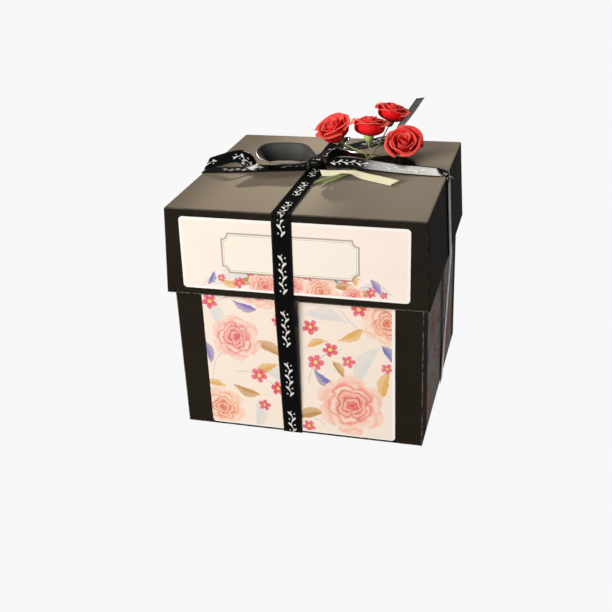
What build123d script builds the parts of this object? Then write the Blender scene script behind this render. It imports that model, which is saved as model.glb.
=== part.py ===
from build123d import *
from math import atan2, cos, degrees, radians, sin, tan
import os

# Explosion box: a square gift box whose lid holds three nested layers of walls upright.
# The origin is the centre of the underside, X runs to the right of the front, Y to the back.

# Card box
base_half = 64.0            # half the outside width of the box below the lid
box_height = 124.0          # from the table to the top of the lid
card = 0.5                  # black card
paper = 0.2                 # printed labels and mats
lid_gap = 0.3               # running gap between the walls and the lid
skirt_depth = 45.0          # depth of the lid's sides
skirt_flare = 2.0           # how far each side of the lid leans out at its lower edge
fold_radius = 0.9           # outside of a fold in card
seat_gap = 0.2              # between the lid and the walls that it rests on
fold_gap = 0.1              # between a wall and the floor that it folds from
corner_gap = 0.3            # between two walls that meet at a corner
corner_radius = 2.0         # rounded corners of walls, labels and mats
tab_length = 14.0           # glued tabs inside the lid's corners
tab_taper = 3.0
tab_clear = 0.6             # from a tab to the skirt's lower edge

# Nested layers
layer_inset = 3.5           # step from one layer's walls to the next
layer_drop = 4.5            # how much lower each inner layer's walls end
pad_thick = 1.0             # foam pads that hold one floor on another
pad_size = 22.0
pad_inset = 12.0            # from a floor's edge to its pads
mat_margin = 6.0            # bare card around a mat
pocket_height = 62.0        # printed pocket on each middle wall
pocket_thick = 0.4          # two plies of paper
thumb_radius = 11.0         # cut-out in a pocket's upper edge

# Labels
label_width = 100.0         # printed label on each outer wall
label_height = 104.0
label_rise = 0.6            # from the fold to the label's lower edge
lid_label_width = 115.5
lid_label_height = 37.5
lid_label_drop = 3.9        # from the lid's top to the label, along the slope

# Small gift box in the middle
gift_half = 28.0
gift_height = 44.0
gift_card = 0.6
gift_skirt = 15.0
gift_gap = 0.35
gift_corner = 0.8
gift_drop = 0.1             # the gift box's glue line

# Ribbon
ribbon_width = 10.0
ribbon_thick = 0.25
ribbon_x = -5.0             # centre of the run from front to back
ribbon_y = 5.0              # centre of the run from left to right, on the right side
ribbon_slant = 11.0         # how far that run slants to the front on its way to the left side
ribbon_gap = 0.3
turn_down = 2.2             # end of a top band, turned over the lid's edge
fold_ease = 0.1             # between a band and the fold that it goes round
fold_steps = 4              # flats of a band round the fold
knot_length = 9.0
knot_depth = 8.0
knot_height = 5.6
knot_round = 2.2
bow_reach = 40.0            # from the knot to the far places of the bow and the roses
curve_steps = 4             # sections between two places on a curved strip

# Spray of paper roses
rose_radius = 10.6
petal_thick = 0.4
petals = 11
petal_flats = 5             # flats that a petal is folded into on its way round the rose
stem_radius = 0.4
stem_sides = 6              # flats of a stem, and of the cup and the bud that it carries
stem_pitch = 1.05           # spacing of the stems in their bundle
stem_bend = 2.0
tie_width = 5.4
tie_thick = 0.25

# Places worked out from the sizes above
lid_half = base_half + lid_gap + 2 * card
lid_top = box_height
lid_under = lid_top - card
skirt_low = lid_top - skirt_depth
flare_angle = degrees(atan2(skirt_flare, skirt_depth))
ribbon_face = base_half + paper + ribbon_gap
quarter_turn = 90
half_turn = 180
full_turn = 360
SIDES = {"front": 0, "right": 90, "back": 180, "left": 270}
RIBBON_SHIFT = {"front": ribbon_x, "right": ribbon_y, "back": -ribbon_x, "left": ribbon_slant - ribbon_y}

os.makedirs("parts", exist_ok=True)
made = []


def save(name, shape):
    export_step(shape, f"parts/{name}.step")
    made.append((name, shape))


def block(x, y, z):
    """A box between two limits on each axis."""
    size = (x[1] - x[0], y[1] - y[0], z[1] - z[0])
    middle = ((x[0] + x[1]) / 2, (y[0] + y[1]) / 2, (z[0] + z[1]) / 2)
    return Pos(*middle) * Box(*size)


def turned(side, shape):
    """A piece made for the front, turned to stand on one of the four sides."""
    return Rot(0, 0, SIDES[side]) * shape


def upright(outline, face_y, low_z, thick):
    """An outline drawn with its lower edge on X, stood up behind the plane Y = face_y."""
    return extrude(Plane((0, face_y, low_z), x_dir=(1, 0, 0), z_dir=(0, -1, 0)) * outline, -thick)


def rounded_panel(width, height, radius, lower_too=True):
    """A rectangle above the X axis with its corners rounded."""
    panel = Pos(0, height / 2) * Rectangle(width, height)
    corners = panel.vertices()
    if not lower_too:
        corners = corners.sort_by(Axis.Y)[2:]
    return fillet(corners, radius)


# Three layers of walls

class Layer:
    """One floor with four walls hinged along its edges."""

    def __init__(self, name, half, floor_z, wall_top):
        self.name = name
        self.half = half
        self.floor_z = floor_z
        self.hinge_z = floor_z + card + fold_gap
        self.height = wall_top - self.hinge_z

    def wall_width(self, side):
        if side in ("front", "back"):
            return 2 * self.half
        return 2 * (self.half - card - corner_gap)

    def floor(self):
        return block((-self.half, self.half), (-self.half, self.half), (self.floor_z, self.floor_z + card))

    def wall(self, side):
        outline = rounded_panel(self.wall_width(side), self.height, corner_radius, lower_too=False)
        return turned(side, upright(outline, -self.half, self.hinge_z, card))

    def mat(self, side):
        """A printed mat on the inside of a wall, short enough to clear its neighbours."""
        width = 2 * (self.half - card - corner_gap - mat_margin)
        outline = rounded_panel(width, self.height - 2 * mat_margin, corner_radius)
        return turned(side, upright(outline, -self.half + card, self.hinge_z + mat_margin, paper))

    def pocket(self, side):
        """A paper pocket with a half-round thumb cut in its upper edge."""
        width = 2 * (self.half - card - corner_gap - mat_margin)
        outline = rounded_panel(width, pocket_height, corner_radius)
        outline -= Pos(0, pocket_height) * Circle(thumb_radius)
        return turned(side, upright(outline, -self.half + card, self.hinge_z + mat_margin, pocket_thick))


wall_top = lid_under - seat_gap
layer_step = card + pad_thick
outer = Layer("outer", base_half, ribbon_thick, wall_top)
middle = Layer("middle", base_half - layer_inset, ribbon_thick + layer_step, wall_top - layer_drop)
inner = Layer("inner", base_half - 2 * layer_inset, ribbon_thick + 2 * layer_step, wall_top - 2 * layer_drop)


def pads(lower, upper):
    """Four square foam pads between two floors."""
    centre = upper.half - pad_inset - pad_size / 2
    one = Box(pad_size, pad_size, pad_thick)
    height = lower.floor_z + card + pad_thick / 2
    return Compound(children=[Pos(x, y, height) * one for x in (-centre, centre) for y in (-centre, centre)])


for layer in (outer, middle, inner):
    save(f"{layer.name}_floor", layer.floor())
    for side in SIDES:
        save(f"{layer.name}_wall_{side}", layer.wall(side))
save("foam_pads_lower", pads(outer, middle))
save("foam_pads_upper", pads(middle, inner))
for side in SIDES:
    label = upright(rounded_panel(label_width, label_height, corner_radius),
                    -outer.half - paper, outer.hinge_z + label_rise, paper)
    save(f"outer_label_{side}", turned(side, label))
    save(f"outer_mat_{side}", outer.mat(side))
    save(f"middle_pocket_{side}", middle.pocket(side))
    save(f"inner_mat_{side}", inner.mat(side))


# Small gift box with a lift-off lid

def open_tray(half, height, wall, radius):
    """A square tray of card, open upwards, with rounded folds."""
    outside = Box(2 * half, 2 * half, height, align=(Align.CENTER, Align.CENTER, Align.MIN))
    outside = fillet(outside.edges().filter_by(Axis.Z), radius)
    room = half - wall
    inside = Box(2 * room, 2 * room, height, align=(Align.CENTER, Align.CENTER, Align.MIN))
    return outside - Pos(0, 0, wall) * inside


gift_floor = inner.floor_z + card + gift_drop
gift_lid_half = gift_half + gift_gap + gift_card
gift_lid_top = gift_floor + gift_height + gift_gap + gift_card
save("gift_box_base", Pos(0, 0, gift_floor) * open_tray(gift_half, gift_height, gift_card, gift_corner))
gift_lid = open_tray(gift_lid_half, gift_skirt, gift_card, gift_corner)
save("gift_box_lid", Pos(0, 0, gift_lid_top) * Rot(half_turn, 0, 0) * gift_lid)


# Lid

def flared_block(inset, drop, radius=None):
    """The lid's outside, or a space inside it, widening downwards by the skirt's flare."""
    top = lid_top - drop
    low = skirt_low - (card if inset else 0)
    halves = [lid_half - inset + skirt_flare * (lid_top - z) / skirt_depth for z in (low, top)]
    solid = loft([Pos(0, 0, z) * Rectangle(2 * half, 2 * half) for z, half in zip((low, top), halves)])
    if radius is None:
        return solid
    lower_edges = solid.faces().sort_by(Axis.Z)[0].edges()
    return fillet([edge for edge in solid.edges() if edge not in lower_edges], radius)


def lid_shell():
    """One folded sheet: top, four flared sides, and the glued tabs inside two of them."""
    shell = flared_block(0, 0, fold_radius) - flared_block(card, card)
    ply = flared_block(card, card) - flared_block(2 * card, card)
    reach = lid_half - 2 * card
    for turn in (0, half_turn):
        for sign in (-1, 1):
            corners = [(sign * reach, lid_under), (sign * reach, skirt_low + tab_clear),
                       (sign * (reach - tab_length), skirt_low + tab_clear + tab_taper),
                       (sign * (reach - tab_length), lid_under - tab_taper)]
            outline = make_face(Polyline(*corners, close=True))
            low_y = -(lid_half + skirt_flare)
            zone = extrude(Plane((0, low_y, 0), x_dir=(1, 0, 0), z_dir=(0, -1, 0)) * outline, low_y / 2)
            shell += Rot(0, 0, turn) * (ply & zone)
    return shell


def lid_label():
    """The printed label on the lid's front, lying on its slope."""
    outline = rounded_panel(lid_label_width, lid_label_height, corner_radius)
    flat = extrude(Pos(0, -lid_label_height - lid_label_drop) * outline, paper)
    slope = Plane((0, -lid_half, lid_top), x_dir=(1, 0, 0),
                  z_dir=(0, -cos(radians(flare_angle)), sin(radians(flare_angle))))
    return slope * flat


save("lid_shell", lid_shell())
save("lid_label_front", lid_label())


# Ribbon around the box

def strand(side):
    """A side run: straight from the floor's edge to the skirt, then up it to the lid's top."""
    clear = paper + ribbon_gap
    edge_y = -(lid_half + skirt_flare + clear)
    top_z = lid_top - turn_down - ribbon_gap
    top_y = -(lid_half + skirt_flare * (lid_top - top_z) / skirt_depth + clear)
    foot = (-ribbon_face, ribbon_thick)
    path = FilletPolyline(foot, (edge_y, skirt_low - ribbon_gap), (top_y, top_z), radius=skirt_depth / 2)
    face = thicken_path(path, ribbon_thick)
    run = extrude(Plane.YZ * face, ribbon_width / 2, both=True)
    return turned(side, Pos(RIBBON_SHIFT[side], 0, 0) * run)


def thicken_path(path, thick):
    """A flat outline of even thickness to the left of a path."""
    side = path.offset_2d(thick, side=Side.LEFT, closed=False)
    ends = [Line(path @ 0, side @ 0), Line(path @ 1, side @ 1)]
    if (Vector(path @ 0) - Vector(side @ 0)).length > (Vector(path @ 0) - Vector(side @ 1)).length:
        ends = [Line(path @ 0, side @ 1), Line(path @ 1, side @ 0)]
    return make_face([*path.edges(), *side.edges(), *[line.edge() for line in ends]])


def under_run():
    """The ribbon under the floor, its two runs pressed into one thickness where they cross."""
    half = base_half + paper
    long_run = block((ribbon_x - ribbon_width / 2, ribbon_x + ribbon_width / 2), (-half, half),
                     (0, ribbon_thick))
    left_y = ribbon_y - ribbon_slant
    corners = [(half, ribbon_y - ribbon_width / 2), (half, ribbon_y + ribbon_width / 2),
               (-half, left_y + ribbon_width / 2), (-half, left_y - ribbon_width / 2)]
    return long_run + extrude(make_face(Polyline(*corners, close=True)), ribbon_thick)


for side in SIDES:
    save(f"ribbon_strand_{side}", strand(side))
save("ribbon_under_floor", under_run())


# Ribbon on the lid

def eased(places, steps):
    """More places along a smooth curve through the given ones."""
    table = [Vector(*place[:3]) for place in places]
    turns = [Vector(*place[3:], 0) for place in places]
    curve = []
    for index in range(len(places) - 1):
        for step in range(steps):
            share = step / steps
            curve.append((between(table, index, share), between(turns, index, share)))
    curve.append((table[-1], turns[-1]))
    return curve


def between(values, index, share):
    """A point on the curve that passes through four neighbouring values."""
    before = values[max(index - 1, 0)]
    start, end = values[index], values[index + 1]
    after = values[min(index + 2, len(values) - 1)]
    cubic = (start - end) * 3 + after - before
    square = before * 2 - start * 5 + end * 4 - after
    return start + ((end - before) + (square + cubic * share) * share) * (share / 2)


def skin(outlines, twisted=True):
    """A solid laid from flat faces between outlines, with twisted sides halved."""
    faces = [Face(Wire.make_polygon(outlines[0])), Face(Wire.make_polygon(outlines[-1]))]
    for one, two in zip(outlines, outlines[1:]):
        for index in range(len(one)):
            side = [one[index - 1], one[index], two[index], two[index - 1]]
            pieces = [side[:3], side[2:] + side[:1]] if twisted else [side]
            faces += [Face(Wire.make_polygon(piece)) for piece in pieces]
    return Solid(Shell(faces))


def strip(places, width, thick, steps=curve_steps):
    """A ribbon through places given as x, y, z, heading and tilt of its width, in degrees."""
    curve = eased(places, steps)
    sections = []
    for index, (middle, turn) in enumerate(curve):
        heading, tilt = radians(turn.X), radians(turn.Y)
        across = Vector(-sin(heading) * cos(tilt), cos(heading) * cos(tilt), sin(tilt))
        ahead = curve[min(index + 1, len(curve) - 1)][0] - curve[max(index - 1, 0)][0]
        normal = ahead.cross(across).normalized()
        corners = [middle + across * (sign * width / 2) + normal * (side * thick / 2)
                   for sign, side in ((-1, -1), (1, -1), (1, 1), (-1, 1))]
        sections.append(corners)
    return skin(sections)


def from_knot(shares, reach):
    """Places given as shares: across from the knot by the reach, up from the lid by the width."""
    return [(ribbon_x + x * reach, ribbon_y + y * reach, lid_top + z * ribbon_width, heading, tilt)
            for x, y, z, heading, tilt in shares]


# x, y, z, then the heading and tilt of the ribbon's width in degrees
LEFT_LOOP_SHARES = [
    (-0.13, -0.05, 0.38, 190, 16), (-0.30, -0.13, 0.40, 184, 12), (-0.52, -0.18, 0.44, 178, 16),
    (-0.70, -0.14, 0.54, 150, 30), (-0.76, 0.03, 0.61, 100, 55), (-0.68, 0.13, 0.66, 40, 74),
    (-0.46, 0.18, 0.67, 5, 82), (-0.26, 0.17, 0.66, -15, 80), (-0.13, 0.10, 0.64, -35, 76)]
RIGHT_LOOP_SHARES = [
    (0.14, 0.08, 0.52, 50, 66), (0.28, 0.20, 0.48, 35, 48), (0.50, 0.34, 0.26, 20, 18),
    (0.80, 0.43, 0.16, 6, 4), (1.06, 0.40, 0.14, -40, 4), (1.17, 0.24, 0.12, -90, 4),
    (1.06, 0.12, 0.10, -140, 3), (0.80, 0.08, 0.09, -176, 3), (0.50, 0.08, 0.09, -182, 3),
    (0.26, 0.03, 0.12, -186, 4), (0.13, 0.00, 0.16, -190, 6)]
LEFT_TAIL_SHARES = [
    (-0.13, -0.02, 0.17, 190, 0), (-0.35, -0.08, 0.17, 188, 0), (-0.62, -0.16, 0.15, 184, 0),
    (-0.84, -0.19, 0.20, 178, -6), (-0.97, -0.12, 0.52, 166, -20), (-1.08, -0.08, 0.62, 170, -26),
    (-1.22, -0.09, 0.52, 178, -26), (-1.38, -0.13, 0.36, 186, -22)]
TAIL_END_SHARES = (-0.19, 0.26, 190, -16)
BACK_TAIL_SHARES = [
    (-0.02, 0.13, 0.20, 92, 0), (-0.05, 0.38, 0.08, 88, 0), (0.06, 0.72, 0.07, 62, 0),
    (0.30, 1.04, 0.08, 46, 0), (0.56, 1.27, 0.16, 26, 0), (0.79, 1.38, 0.46, -6, 0),
    (0.96, 1.40, 1.30, -25, 0), (1.18, 1.38, 2.60, -25, 0)]


def over_the_edge():
    """Distance out and height of a band that lies round the lid's fold, out to its cut end."""
    lift = ribbon_thick / 2 + fold_ease
    radius = fold_radius + lift
    turns = [radians(quarter_turn * step / fold_steps) for step in range(fold_steps + 1)]
    arc = [(lid_half - fold_radius + radius * sin(turn), lid_top - fold_radius + radius * cos(turn))
           for turn in turns]
    return arc + [(lid_half + lift + skirt_flare * turn_down / skirt_depth, lid_top - turn_down)]


def lid_band(side, shares):
    """A taut run from the knot to one edge of the lid, its end turned down over the fold."""
    sign = -1 if side == "left" else 1
    edge_y = ribbon_y - (ribbon_slant if side == "left" else 0)
    places = from_knot(shares, bow_reach)
    places += [(sign * out, edge_y, z, 0, 0) for out, z in over_the_edge()]
    if side == "left":
        places.reverse()
    return strip(places, ribbon_width, ribbon_thick, steps=1)


# The left run lies low; the stems lift the right one, which leans towards the front
LEFT_BAND_SHARES = [(-0.13, -0.03, 0.08, 11, 0), (-0.60, -0.12, 0.06, 11, 0)]
RIGHT_BAND_SHARES = [
    (0.14, -0.06, 0.36, 2, 24), (0.28, -0.05, 0.46, 2, 24), (0.50, -0.04, 0.48, 2, 22),
    (0.80, -0.03, 0.34, 1, 17), (1.10, -0.02, 0.22, 1, 9), (1.45, -0.01, 0.10, 0, 3)]


def long_band():
    """The flat run from front to back, under the knot, with both ends turned down."""
    edge = over_the_edge()
    places = [(ribbon_x, -out, z, 90, 0) for out, z in reversed(edge)]
    places += [(ribbon_x, out, z, 90, 0) for out, z in edge]
    return strip(places, ribbon_width, ribbon_thick, steps=1)


def knot():
    """The tight wrap of ribbon where the runs cross."""
    block_edges = Box(knot_length, knot_depth, knot_height).edges()
    body = fillet(block_edges.filter_by(Axis.X), knot_round)
    seat = lid_top + ribbon_thick + 2 * fold_ease
    return Pos(ribbon_x, ribbon_y, seat + knot_height / 2) * body


save("ribbon_band_long", long_band())
save("ribbon_band_left", lid_band("left", LEFT_BAND_SHARES))
save("ribbon_band_right", lid_band("right", RIGHT_BAND_SHARES))
save("ribbon_knot", knot())
end_y, end_z, *end_turn = TAIL_END_SHARES
tail_end = (-lid_half, ribbon_y + end_y * bow_reach, lid_top + end_z * ribbon_width, *end_turn)
BOW = {"bow_loop_left": from_knot(LEFT_LOOP_SHARES, bow_reach),
       "bow_loop_right": from_knot(RIGHT_LOOP_SHARES, bow_reach),
       "bow_tail_left": from_knot(LEFT_TAIL_SHARES, bow_reach) + [tail_end],
       "bow_tail_back": from_knot(BACK_TAIL_SHARES, bow_reach)}
for name, places in BOW.items():
    save(name, strip(places, ribbon_width, ribbon_thick))


# Spray of paper roses

# Shares of a rose's own radius, chosen to match a half-open paper rose
inner_petal_share = 0.30
petal_height_share = 1.15
petal_fall_share = 0.35
petal_lip_share = 0.16
PETAL_SHARES = [(0.25, 0.06, 0), (0.80, 0.24, 0), (1.00, 0.55, 0), (0.97, 0.82, 0), (1.00, 1.00, 1)]
heart_foot_share = 0.20
heart_tip_share = 0.10
calyx_share = 0.27
golden_turn = full_turn * 2 / (1 + 5 ** 0.5)
petal_sweep = 118

# Places of the heads from the knot, in the bow's reach, height above the lid in the rose's
# radius, size of each head, and the way it faces
ROSES = {
    "rose_left": ((0.04, 0.88), 1.17, 1.00, (-0.30, -0.35, 0.89)),
    "rose_middle": ((0.55, 0.71), 1.58, 0.87, (0.05, 0.35, 0.93)),
    "rose_back": ((0.82, 1.12), 1.92, 0.87, (0.25, 0.15, 0.95)),
    "rose_right": ((1.08, 0.45), 0.98, 0.92, (0.15, -0.60, 0.78))}
rose_centre_share = 0.6
run_share = 0.45

# The stems' bundle, shared out from the knot like the bow, and how far it fans at each place
BUNDLE_SHARES = [(0.69, 0.30, 0.50), (0.62, 0.10, 0.29), (0.50, -0.24, 0.12), (0.18, -0.62, 0.09)]
BUNDLE_SPREAD = (1.1, 1.0, 1.0, 2.2)
bundle_turn = radians(-25)
TIE_SHARES = [
    (0.12, -0.26, 0.12, -2, 16), (0.28, -0.26, 0.13, -6, 14), (0.41, -0.26, 0.24, -10, 2),
    (0.50, -0.27, 0.26, -14, 0), (0.59, -0.28, 0.23, -20, 4), (0.72, -0.32, 0.13, -26, 16),
    (0.90, -0.40, 0.12, -28, 18), (1.16, -0.53, 0.12, -28, 18)]


def petal(radius, height, lip):
    """A curled petal: a thin wall that goes part of the way round the rose's axis in flats."""
    outside = [(across * radius + curl * lip, up * height) for across, up, curl in PETAL_SHARES]
    inside = [(outside[0][0], outside[0][1] + petal_thick)]
    inside += [(x - petal_thick, z) for x, z in outside[1:]]
    turns = [petal_sweep * count / petal_flats for count in range(petal_flats + 1)]
    profile = [Vector(x, 0, z) for x, z in outside + inside[::-1]]
    return skin([[point.rotate(Axis.Z, turn) for point in profile] for turn in turns], twisted=False)


def ring(radius, height):
    """Corners of a level outline round the rose's axis."""
    turns = [full_turn * side / stem_sides for side in range(stem_sides)]
    return [Vector(radius, 0, height).rotate(Axis.Z, turn) for turn in turns]


def rose(radius):
    """A bud with petals wound round it, each a little wider and lower than the last."""
    calyx = radius * calyx_share
    cup = skin([ring(stem_radius, -calyx), ring(calyx, 0)], twisted=False)
    heart = [ring(radius * heart_foot_share, 0), ring(radius * heart_tip_share, radius)]
    wound = []
    for index in range(petals):
        share = (index + 1) / petals
        reach = radius * (inner_petal_share + (1 - inner_petal_share) * share)
        height = radius * (petal_height_share - petal_fall_share * share)
        lip = radius * petal_lip_share * share
        one = petal(reach - lip, height, lip)
        wound.append(Rot(0, 0, index * golden_turn) * one)
    return skin(heart, twisted=False).fuse(cup, *wound)


def rose_plane(name):
    """Where a rose's foot is and which way it faces."""
    (x, y), height, size, facing = ROSES[name]
    way = Vector(*facing).normalized()
    centre = Vector(ribbon_x + x * bow_reach, ribbon_y + y * bow_reach, lid_top + height * rose_radius)
    return Plane(centre - way * (rose_centre_share * size * rose_radius), z_dir=way)


def bend_radii(points):
    """For each corner of a wire, the largest arc that its shorter run leaves room for."""
    radii = []
    for before, corner, after in zip(points, points[1:], points[2:]):
        runs = [corner - before, after - corner]
        half_turn = radians(runs[0].get_angle(runs[1])) / 2
        radii.append(run_share * min(run.length for run in runs) / tan(half_turn))
    return radii


def rose_stem(index, name):
    """A wire stem from its rose, through the bundle under the right band, to its cut end."""
    size = ROSES[name][2]
    plane = rose_plane(name)
    foot = plane.origin - plane.z_dir * (calyx_share * size * rose_radius + ribbon_gap / 2)
    lead = foot - plane.z_dir * stem_bend
    aside = (index - (len(ROSES) - 1) / 2) * stem_pitch
    points = [foot, lead]
    for (x, y, z), wide in zip(BUNDLE_SHARES, BUNDLE_SPREAD):
        place = Vector(ribbon_x + x * bow_reach, ribbon_y + y * bow_reach, lid_top + z * ribbon_width)
        points.append(place + Vector(cos(bundle_turn), sin(bundle_turn), 0) * (aside * wide))
    path = FilletPolyline(*points, radius=bend_radii(points))
    start = Plane(path @ 0, z_dir=path % 0)
    return sweep(start * RegularPolygon(stem_radius, stem_sides), path=path)


for index, name in enumerate(ROSES):
    save(name, rose_plane(name).location * rose(rose_radius * ROSES[name][2]))
stems = [rose_stem(index, name) for index, name in enumerate(ROSES)]
save("rose_stems", Compound(children=stems))
save("paper_tie", strip(from_knot(TIE_SHARES, bow_reach), tie_width, tie_thick))
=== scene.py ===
# %% [markdown]
# An explosion box: a black card gift box with a lid, tied with printed satin ribbon and topped with
# a spray of red paper roses. Inside, three nested layers of walls fall open when the lid comes off.
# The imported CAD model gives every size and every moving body. This script adds the looks round it.

from functools import partial
from math import cos, pi, radians, sin

import bmesh
import bpy
from mathutils import Matrix, Vector, noise


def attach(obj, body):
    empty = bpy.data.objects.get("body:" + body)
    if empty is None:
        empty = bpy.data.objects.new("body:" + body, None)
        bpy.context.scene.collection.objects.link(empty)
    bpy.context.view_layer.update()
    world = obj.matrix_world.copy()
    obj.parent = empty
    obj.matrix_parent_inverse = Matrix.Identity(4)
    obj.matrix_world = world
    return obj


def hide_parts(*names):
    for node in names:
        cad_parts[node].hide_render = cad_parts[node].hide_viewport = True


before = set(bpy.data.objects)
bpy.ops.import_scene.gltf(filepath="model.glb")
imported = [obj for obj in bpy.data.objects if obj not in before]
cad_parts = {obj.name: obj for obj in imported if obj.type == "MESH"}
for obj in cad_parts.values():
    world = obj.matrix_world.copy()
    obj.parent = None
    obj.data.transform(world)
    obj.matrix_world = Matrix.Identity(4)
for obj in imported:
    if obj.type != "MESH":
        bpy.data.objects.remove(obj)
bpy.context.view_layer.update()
mm = 0.001

# %% [markdown]
# The main sizes of the real box come first, in metres, because every later cell sits on them. The
# lid's half width, its height and the ribbon's places repeat the names that the CAD source uses.

# %% Sizes of the box
base_half = 64 * mm
lid_half = 65.3 * mm
lid_top = 124 * mm
skirt_low = 79 * mm
skirt_flare = 2 * mm
fold_radius = 0.9 * mm
ribbon_width = 10 * mm
ribbon_thick = 0.18 * mm
band_gap = 0.225 * mm
ribbon_x = -5 * mm
ribbon_y = 5 * mm
ribbon_slant = 11 * mm
turn_down = 2.2 * mm
bow_reach = 40 * mm
rose_radius = 10.6 * mm
lean = skirt_flare / (lid_top - skirt_low)
# Half width, height of the top and height of the foot, of each layer and of the gift box
wall_limits = {"outer": (base_half, 123.3 * mm, 0.25 * mm), "middle": (60.5 * mm, 118.8 * mm, 1.75 * mm),
               "inner": (57 * mm, 114.3 * mm, 3.25 * mm)}
gift_limits = {"base": (28 * mm, 47.85 * mm, 3.85 * mm), "lid": (28.95 * mm, 48.8 * mm, 33.8 * mm)}
# How far each side is turned from the front, in degrees
side_turns = {"front": 0, "right": 90, "back": 180, "left": 270}
print("lid", round(2 * lid_half / mm, 1), "mm wide, its skirt leans", round(lean, 4))

# %% [markdown]
# The camera stands where the photographer did: in front, a little to the right, looking down at the
# lid. Its three axes were fitted to the box's corners, so they are written as columns of a matrix.

# %% Camera
camera_data = bpy.data.cameras.new("camera")
camera_data.lens = 56.17
camera_data.sensor_width = 36
camera = bpy.data.objects.new("camera", camera_data)
bpy.context.scene.collection.objects.link(camera)
# Its ways to the right, up and back, and where it stands
right_way = Vector((0.9654, 0.2576, -0.0401))
up_way = Vector((-0.0778, 0.4317, 0.8987))
back_way = Vector((0.2488, -0.8645, 0.4368))
stand = Vector((0.1232, -0.4742, 0.2828))
camera.matrix_world = Matrix((right_way, up_way, back_way)).transposed().to_4x4()
camera.matrix_world.translation = stand
bpy.context.scene.camera = camera
bpy.context.scene.view_settings.view_transform = "Standard"
print("camera", round(stand.length, 3), "m away")

# %% [markdown]
# Patterns are sums on numbers and vectors, and every sum is a node. `Wire` stands for one output of a
# node and lets the sums be written as formulas: a * b + c adds the two Math nodes that work it out.
# `put` adds any other node and feeds its sockets. Both find the node tree from the wires they get.

# %% Helpers that add shader nodes


class Wire:
    """One output of a node. A sum with it adds the node that works the sum out."""

    def __init__(self, socket):
        self.socket = socket
        self.tree = socket.id_data
        self.is_number = socket.type == "VALUE"

    def __add__(self, other):
        return reckon("ADD", self, other)

    def __sub__(self, other):
        return reckon("SUBTRACT", self, other)

    def __rsub__(self, other):
        return reckon("SUBTRACT", other, self)

    def __mul__(self, other):
        by_number = other.is_number if isinstance(other, Wire) else not isinstance(other, tuple)
        return reckon("SCALE" if by_number and not self.is_number else "MULTIPLY", self, other)

    def __truediv__(self, other):
        return reckon("DIVIDE", self, other)

    def __rtruediv__(self, other):
        return reckon("DIVIDE", other, self)

    def __pow__(self, other):
        return reckon("POWER", self, other)


def first_wire(values):
    """The first wire among plain values."""
    return next(value for value in values if isinstance(value, Wire))


def feed(node, wires):
    """Sets or links a node's inputs, given by name or by number."""
    for key, value in wires.items():
        socket = node.inputs[key]
        if isinstance(value, Wire):
            node.id_data.links.new(value.socket, socket)
        elif socket.type == "RGBA" and len(value) == 3:
            socket.default_value = (*value, 1)
        else:
            socket.default_value = value


def put(kind, wires, out=0, tree=None, **settings):
    """Adds one node with its own settings, and gives the wire of one of its outputs."""
    node = (tree or first_wire(wires.values()).tree).nodes.new("ShaderNode" + kind)
    for name, value in settings.items():
        setattr(node, name, value)
    feed(node, wires)
    return Wire(node.outputs[out])


def reckon(operation, *values):
    """One sum, with a Math node for numbers and a Vector Math node for vectors."""
    wires = dict(enumerate(values))
    if first_wire(values).is_number:
        return put("Math", wires, operation=operation)
    if operation == "SCALE":
        wires = {0: values[0], "Scale": values[1]}
    out = "Value" if operation in ("LENGTH", "DISTANCE") else "Vector"
    return put("VectorMath", wires, out, operation=operation)


absolute = partial(reckon, "ABSOLUTE")
largest = partial(reckon, "MAXIMUM")
smallest = partial(reckon, "MINIMUM")
less_than = partial(reckon, "LESS_THAN")
sine = partial(reckon, "SINE")
cosine = partial(reckon, "COSINE")
fraction = partial(reckon, "FRACT")
length = partial(reckon, "LENGTH")


def colour_mix(share, under, over):
    """One colour laid over another."""
    return put("Mix", {0: share, 6: under, 7: over}, 2, data_type="RGBA")


def span(value, low, high, start=0.0, end=1.0):
    """A straight change from low to high while the value goes from start to end."""
    return put("MapRange", {"Value": value, "From Min": start, "From Max": end, "To Min": low,
                            "To Max": high})


def step(value, start, end):
    """A smooth rise from 0 at start to 1 at end. With end below start it falls as the value grows."""
    wires = {"Value": value, "From Min": start, "From Max": end}
    return put("MapRange", wires, interpolation_type="SMOOTHSTEP")


def split(vector):
    """The three numbers of a vector."""
    return [Wire(socket) for socket in put("SeparateXYZ", {0: vector}).socket.node.outputs]


def rough_noise(vector, size, detail=3.0, roughness=0.55, out="Fac"):
    """Noise whose lumps have about the given size in metres."""
    wires = {"Vector": vector, "Scale": 1 / size, "Detail": detail, "Roughness": roughness}
    return put("TexNoise", wires, out)


def bump(height, strength, distance):
    """A surface direction that follows a height from 0 to 1."""
    return put("Bump", {"Strength": strength, "Distance": distance, "Height": height})


print("node helpers ready")

# %% [markdown]
# An effect that several finishes share is built once as a node group. Its sockets are named, and
# a material places the group and gives it values of its own.

# %% Helpers that build and place node groups


def new_group(name, inputs, **outputs):
    """An empty group: each input is given by its default, each output by its kind."""
    tree = bpy.data.node_groups.new(name, "ShaderNodeTree")
    for label, value in inputs.items():
        kind = "Float"
        if isinstance(value, tuple):
            kind = "Color" if len(value) == 4 else "Vector"
        socket = tree.interface.new_socket(label, in_out="INPUT", socket_type="NodeSocket" + kind)
        socket.default_value = value
    for label, kind in outputs.items():
        tree.interface.new_socket(label, in_out="OUTPUT", socket_type="NodeSocket" + kind)
    given = tree.nodes.new("NodeGroupInput").outputs
    return tree, {label: Wire(given[label]) for label in inputs}


def close_group(tree, **results):
    """Wires a group's results to its output sockets."""
    feed(tree.nodes.new("NodeGroupOutput"), results)
    print("group", tree.name, "has", len(tree.nodes), "nodes")


def spaced(wires):
    """The same wires, with a space for each underscore in a socket's name."""
    return {name.replace("_", " "): wire for name, wire in wires.items()}


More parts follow.
